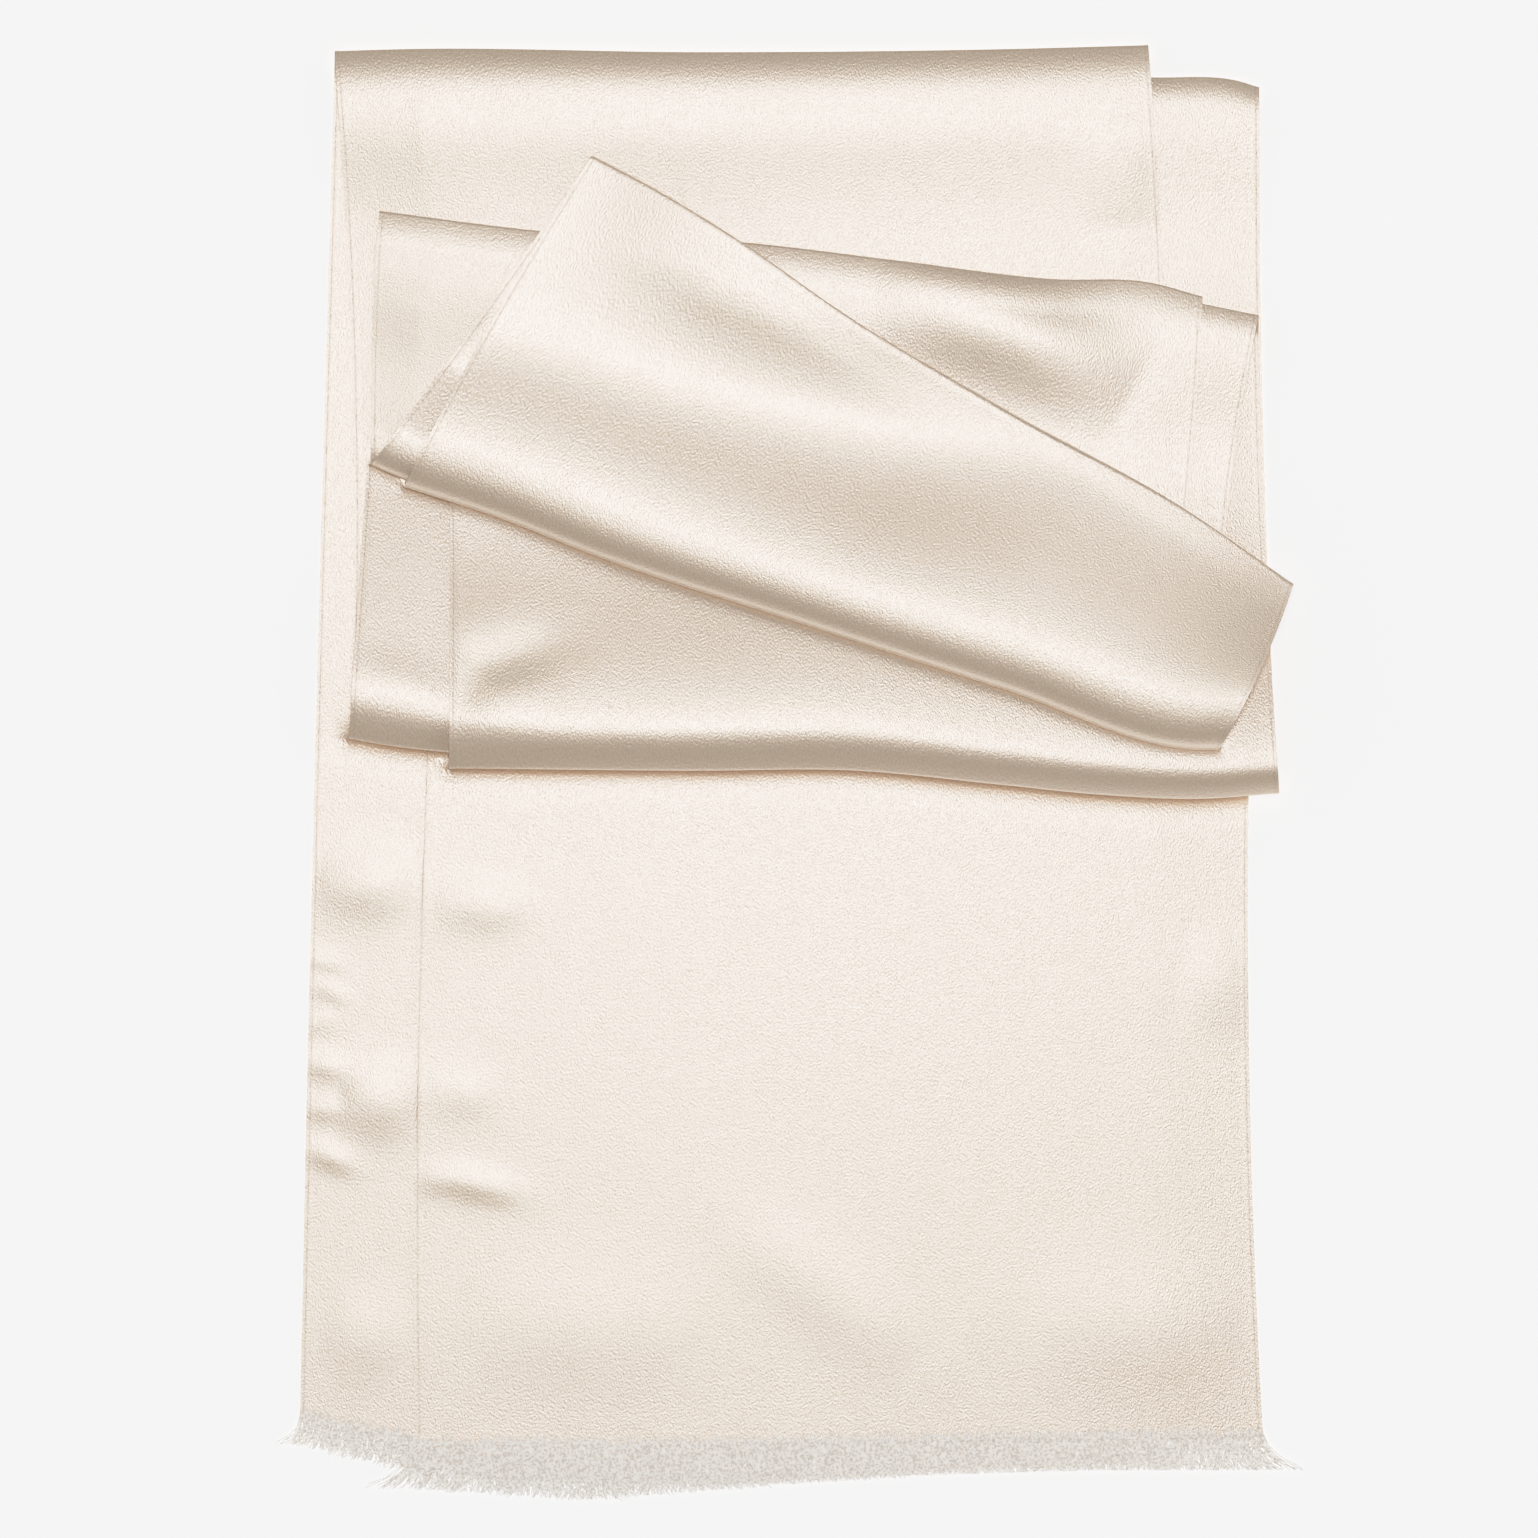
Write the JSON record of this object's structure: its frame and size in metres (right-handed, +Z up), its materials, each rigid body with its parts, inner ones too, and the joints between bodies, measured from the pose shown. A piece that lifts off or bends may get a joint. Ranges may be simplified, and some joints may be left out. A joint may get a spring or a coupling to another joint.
{
  "type": "folded satin scarf",
  "caption": "Long plain ivory satin scarf with short fringed ends, folded in half and then back and forth, lying flat with one end laid out.",
  "frame": {"origin": "on the surface that the scarf lies on, under the middle of its outline", "axes": "+X to the right across the cloth's width, +Y away from the fringed ends, +Z up"},
  "size_m": [0.3004, 0.4382, 0.022],
  "materials": {
    "satin": "soft satin sheen, ivory",
    "fringe": "matt loose yarn, greyed ivory"
  },
  "bodies": {
    "root": {"left_half_stretch_1": "satin", "left_half_stretch_2": "satin", "left_half_stretch_3": "satin", "left_half_stretch_4": "satin", "left_half_stretch_5": "satin", "right_half_stretch_1": "satin", "right_half_stretch_2": "satin", "right_half_stretch_3": "satin", "right_half_stretch_4": "satin", "right_half_stretch_5": "satin", "left_half_fringe": "fringe", "right_half_fringe": "fringe"}
  },
  "joints": []
}
